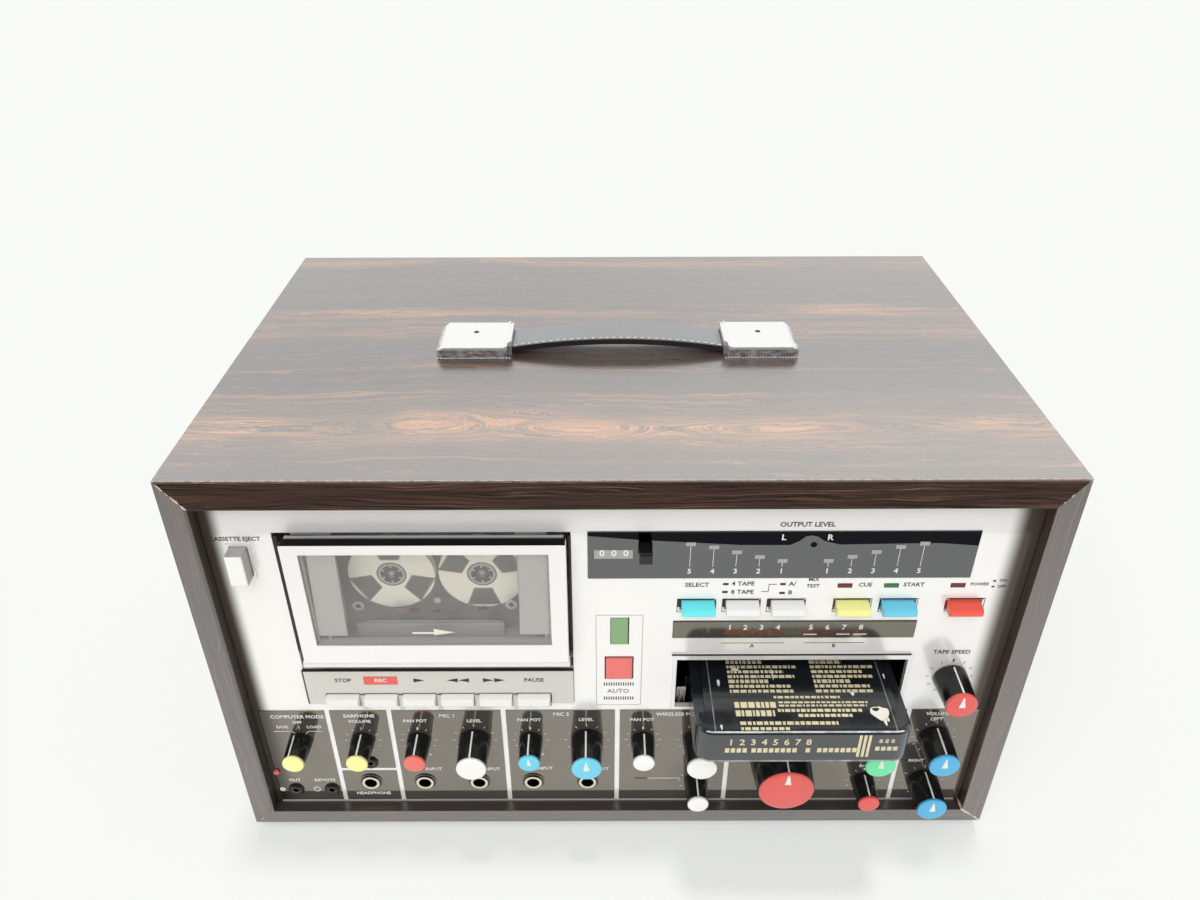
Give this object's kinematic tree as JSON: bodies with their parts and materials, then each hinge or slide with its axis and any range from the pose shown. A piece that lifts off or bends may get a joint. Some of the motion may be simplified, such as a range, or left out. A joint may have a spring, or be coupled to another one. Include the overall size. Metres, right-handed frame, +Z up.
{
  "type": "8-track cartridge and cassette player",
  "caption": "Portable wooden-cased tape player with a cartridge slot, a cassette door, piano keys, push buttons, phone jacks, dials and a strap handle.",
  "frame": {"origin": "on the floor plane under the feet, at the centre of the footprint", "axes": "+X to the right seen from the front, +Y to the back, +Z up"},
  "size_m": [0.4, 0.287, 0.2457],
  "materials": {
    "cabinet_wood": "semi-gloss rosewood-pattern vinyl over board",
    "hardboard": "matt hardboard",
    "rubber": "matt",
    "handle_end": "plated",
    "strap": "grained vinyl with stitching",
    "brushed_aluminium": "brushed and lacquered",
    "dark_panel": "glossy print",
    "display": "glossy smoked",
    "bright_trim": "bright trim",
    "light_plastic": "moulded, satin",
    "black_plastic": "moulded, matt",
    "tray_steel": "plated sheet",
    "lamp": "clear coloured",
    "jack_metal": "plated",
    "chassis_steel": "zinc-plated sheet",
    "circuit_board": "phenolic board",
    "transformer_iron": "varnished laminations",
    "motor_can": "drawn can",
    "head_metal": "polished",
    "rear_metal": "plated",
    "white_key": "moulded, glossy",
    "blue_key": "moulded, glossy",
    "yellow_key": "moulded, glossy",
    "red_key": "moulded, glossy",
    "knob_black": "moulded, glossy",
    "cartridge_plastic": "moulded, blue-black, rubbed",
    "door_silver": "plated and painted",
    "smoked_pane": "smoked acrylic",
    "cassette_clear": "clear styrene",
    "reel_metal": "pale gold anodised",
    "shaft_steel": "ground",
    "white_print": "screen print",
    "dark_print": "screen print",
    "red_print": "screen print",
    "green_key": "moulded, glossy"
  },
  "bodies": {
    "cabinet": {"cabinet_shell": "cabinet_wood", "back_panel": "hardboard", "rubber_feet": "rubber", "handle_brackets": "handle_end", "handle_strap": "strap", "faceplate": "brushed_aluminium", "control_overlay": "dark_panel", "display_windows": "display", "slot_bezel": "bright_trim", "key_surround": "light_plastic", "cassette_well": "black_plastic", "cartridge_tray": "tray_steel", "indicator_lamps": "lamp", "jacks": "jack_metal", "chassis_plate": "chassis_steel", "circuit_boards": "circuit_board", "transformer": "transformer_iron", "motors": "motor_can", "tape_heads": "head_metal", "rear_terminals": "rear_metal"},
    "door": {"door_frame": "door_silver", "door_window": "smoked_pane", "cassette_shell": "cassette_clear"},
    "eject_button": {"eject_button": "white_key"},
    "auto_select_button": {"auto_select_button": "red_key"},
    "counter_reset": {"counter_reset": "black_plastic"},
    "cartridge": {"cartridge": "cartridge_plastic"},
    "reel_left": {"reel_left": "reel_metal"},
    "reel_right": {"reel_right": "reel_metal"},
    "spindle_left": {"spindle_left": "black_plastic"},
    "spindle_right": {"spindle_right": "black_plastic"},
    "cassette_capstan": {"cassette_capstan": "shaft_steel"},
    "eight_track_capstan": {"eight_track_capstan": "shaft_steel"},
    "push_button_1": {"push_button_1": "blue_key"},
    "push_button_2": {"push_button_2": "white_key"},
    "push_button_3": {"push_button_3": "white_key"},
    "push_button_4": {"push_button_4": "yellow_key"},
    "push_button_5": {"push_button_5": "blue_key"},
    "push_button_6": {"push_button_6": "red_key"},
    "piano_key_1": {"piano_key_1": "white_key"},
    "piano_key_2": {"piano_key_2": "white_key"},
    "piano_key_3": {"piano_key_3": "white_key"},
    "piano_key_4": {"piano_key_4": "white_key"},
    "piano_key_5": {"piano_key_5": "white_key"},
    "piano_key_6": {"piano_key_6": "white_key"},
    "knob_selector": {"knob_selector": "knob_black"},
    "knob_earphone": {"knob_earphone": "knob_black"},
    "knob_mic_tone": {"knob_mic_tone": "knob_black"},
    "knob_mic_level": {"knob_mic_level": "knob_black"},
    "knob_echo_tone": {"knob_echo_tone": "knob_black"},
    "knob_echo_level": {"knob_echo_level": "knob_black"},
    "knob_balance": {"knob_balance": "knob_black"},
    "knob_mix_level": {"knob_mix_level": "knob_black"},
    "knob_mix_tone": {"knob_mix_tone": "knob_black"},
    "knob_function": {"knob_function": "knob_black"},
    "knob_treble": {"knob_treble": "knob_black"},
    "knob_bass": {"knob_bass": "knob_black"},
    "knob_volume_left": {"knob_volume_left": "knob_black"},
    "knob_volume_right": {"knob_volume_right": "knob_black"},
    "knob_tape_speed": {"knob_tape_speed": "knob_black"}
  },
  "joints": [
    {"name": "door_hinge", "type": "hinge", "parent": "cabinet", "child": "door", "pos_m": [0, -0.1015, 0.126], "axis": [1, 0, 0], "range_deg": [0, 35]},
    {"name": "reel_left_spin", "type": "hinge", "parent": "door", "child": "reel_left", "pos_m": [-0.10745, -0.09665, 0.1752], "axis": [0, 1, 0], "continuous": true},
    {"name": "spindle_left_spin", "type": "hinge", "parent": "cabinet", "child": "spindle_left", "pos_m": [-0.10745, -0.09665, 0.1752], "axis": [0, 1, 0], "continuous": true},
    {"name": "reel_right_spin", "type": "hinge", "parent": "door", "child": "reel_right", "pos_m": [-0.06495, -0.09665, 0.1752], "axis": [0, 1, 0], "continuous": true},
    {"name": "spindle_right_spin", "type": "hinge", "parent": "cabinet", "child": "spindle_right", "pos_m": [-0.06495, -0.09665, 0.1752], "axis": [0, 1, 0], "continuous": true},
    {"name": "cassette_capstan_spin", "type": "hinge", "parent": "cabinet", "child": "cassette_capstan", "pos_m": [-0.0602, -0.0923, 0.1491], "axis": [0, 1, 0], "continuous": true},
    {"name": "eight_track_capstan_spin", "type": "hinge", "parent": "cabinet", "child": "eight_track_capstan", "pos_m": [0.0532, -0.0127, 0.0948], "axis": [0, 0, 1], "continuous": true},
    {"name": "cartridge_slide", "type": "slide", "parent": "cabinet", "child": "cartridge", "axis": [0, -1, 0], "range_m": [0, 0.105]},
    {"name": "eject_press", "type": "slide", "parent": "cabinet", "child": "eject_button", "axis": [0, 1, 0], "range_m": [0, 0.003], "stiffness_N_per_m": 300},
    {"name": "auto_select_press", "type": "slide", "parent": "cabinet", "child": "auto_select_button", "axis": [0, 1, 0], "range_m": [0, 0.003], "stiffness_N_per_m": 300},
    {"name": "counter_reset_press", "type": "slide", "parent": "cabinet", "child": "counter_reset", "axis": [0, 1, 0], "range_m": [0, 0.003], "stiffness_N_per_m": 300},
    {"name": "push_button_1_press", "type": "slide", "parent": "cabinet", "child": "push_button_1", "axis": [0, 1, 0], "range_m": [0, 0.003], "stiffness_N_per_m": 300},
    {"name": "push_button_2_press", "type": "slide", "parent": "cabinet", "child": "push_button_2", "axis": [0, 1, 0], "range_m": [0, 0.003], "stiffness_N_per_m": 300},
    {"name": "push_button_3_press", "type": "slide", "parent": "cabinet", "child": "push_button_3", "axis": [0, 1, 0], "range_m": [0, 0.003], "stiffness_N_per_m": 300},
    {"name": "push_button_4_press", "type": "slide", "parent": "cabinet", "child": "push_button_4", "axis": [0, 1, 0], "range_m": [0, 0.003], "stiffness_N_per_m": 300},
    {"name": "push_button_5_press", "type": "slide", "parent": "cabinet", "child": "push_button_5", "axis": [0, 1, 0], "range_m": [0, 0.003], "stiffness_N_per_m": 300},
    {"name": "push_button_6_press", "type": "slide", "parent": "cabinet", "child": "push_button_6", "axis": [0, 1, 0], "range_m": [0, 0.003], "stiffness_N_per_m": 300},
    {"name": "piano_key_1_press", "type": "hinge", "parent": "cabinet", "child": "piano_key_1", "pos_m": [-0.1382, -0.0615, 0.0982], "axis": [1, 0, 0], "range_deg": [0, 4.4], "stiffness_Nm_per_rad": 1},
    {"name": "piano_key_2_press", "type": "hinge", "parent": "cabinet", "child": "piano_key_2", "pos_m": [-0.1191, -0.0615, 0.0982], "axis": [1, 0, 0], "range_deg": [0, 4.4], "stiffness_Nm_per_rad": 1},
    {"name": "piano_key_3_press", "type": "hinge", "parent": "cabinet", "child": "piano_key_3", "pos_m": [-0.1, -0.0615, 0.0982], "axis": [1, 0, 0], "range_deg": [0, 4.4], "stiffness_Nm_per_rad": 1},
    {"name": "piano_key_4_press", "type": "hinge", "parent": "cabinet", "child": "piano_key_4", "pos_m": [-0.0809, -0.0615, 0.0982], "axis": [1, 0, 0], "range_deg": [0, 4.4], "stiffness_Nm_per_rad": 1},
    {"name": "piano_key_5_press", "type": "hinge", "parent": "cabinet", "child": "piano_key_5", "pos_m": [-0.0618, -0.0615, 0.0982], "axis": [1, 0, 0], "range_deg": [0, 4.4], "stiffness_Nm_per_rad": 1},
    {"name": "piano_key_6_press", "type": "hinge", "parent": "cabinet", "child": "piano_key_6", "pos_m": [-0.0427, -0.0615, 0.0982], "axis": [1, 0, 0], "range_deg": [0, 4.4], "stiffness_Nm_per_rad": 1},
    {"name": "knob_selector_turn", "type": "hinge", "parent": "cabinet", "child": "knob_selector", "pos_m": [-0.16565, -0.1084, 0.0705], "axis": [0, 1, 0], "range_deg": [-30, 45]},
    {"name": "knob_earphone_turn", "type": "hinge", "parent": "cabinet", "child": "knob_earphone", "pos_m": [-0.13325, -0.1084, 0.0705], "axis": [0, 1, 0], "range_deg": [-150, 150]},
    {"name": "knob_mic_tone_turn", "type": "hinge", "parent": "cabinet", "child": "knob_mic_tone", "pos_m": [-0.1041, -0.1084, 0.0705], "axis": [0, 1, 0], "range_deg": [-150, 150]},
    {"name": "knob_mic_level_turn", "type": "hinge", "parent": "cabinet", "child": "knob_mic_level", "pos_m": [-0.0749, -0.1084, 0.0705], "axis": [0, 1, 0], "range_deg": [-146, 154]},
    {"name": "knob_echo_tone_turn", "type": "hinge", "parent": "cabinet", "child": "knob_echo_tone", "pos_m": [-0.0458, -0.1084, 0.0705], "axis": [0, 1, 0], "range_deg": [-144, 156]},
    {"name": "knob_echo_level_turn", "type": "hinge", "parent": "cabinet", "child": "knob_echo_level", "pos_m": [-0.0166, -0.1084, 0.0705], "axis": [0, 1, 0], "range_deg": [-147, 153]},
    {"name": "knob_balance_turn", "type": "hinge", "parent": "cabinet", "child": "knob_balance", "pos_m": [0.0125, -0.1084, 0.0705], "axis": [0, 1, 0], "range_deg": [-155, 145]},
    {"name": "knob_mix_level_turn", "type": "hinge", "parent": "cabinet", "child": "knob_mix_level", "pos_m": [0.0417, -0.1084, 0.0705], "axis": [0, 1, 0], "range_deg": [-150, 150]},
    {"name": "knob_mix_tone_turn", "type": "hinge", "parent": "cabinet", "child": "knob_mix_tone", "pos_m": [0.0417, -0.1084, 0.0378], "axis": [0, 1, 0], "range_deg": [-150, 150]},
    {"name": "knob_function_turn", "type": "hinge", "parent": "cabinet", "child": "knob_function", "pos_m": [0.086, -0.1084, 0.0535], "axis": [0, 1, 0], "range_deg": [-60, 60]},
    {"name": "knob_treble_turn", "type": "hinge", "parent": "cabinet", "child": "knob_treble", "pos_m": [0.1316, -0.1084, 0.072], "axis": [0, 1, 0], "range_deg": [-150, 150]},
    {"name": "knob_bass_turn", "type": "hinge", "parent": "cabinet", "child": "knob_bass", "pos_m": [0.1316, -0.1084, 0.0378], "axis": [0, 1, 0], "range_deg": [-150, 150]},
    {"name": "knob_volume_left_turn", "type": "hinge", "parent": "cabinet", "child": "knob_volume_left", "pos_m": [0.1638, -0.1084, 0.072], "axis": [0, 1, 0], "range_deg": [-150, 150]},
    {"name": "knob_volume_right_turn", "type": "hinge", "parent": "cabinet", "child": "knob_volume_right", "pos_m": [0.1638, -0.1084, 0.0378], "axis": [0, 1, 0], "range_deg": [-150, 150]},
    {"name": "knob_tape_speed_turn", "type": "hinge", "parent": "cabinet", "child": "knob_tape_speed", "pos_m": [0.1636, -0.1084, 0.1158], "axis": [0, 1, 0], "range_deg": [-150, 150]}
  ],
  "couplings": [
    {"joint": "spindle_left_spin", "follows": "reel_left_spin", "ratio": 1},
    {"joint": "spindle_right_spin", "follows": "reel_right_spin", "ratio": 1}
  ]
}
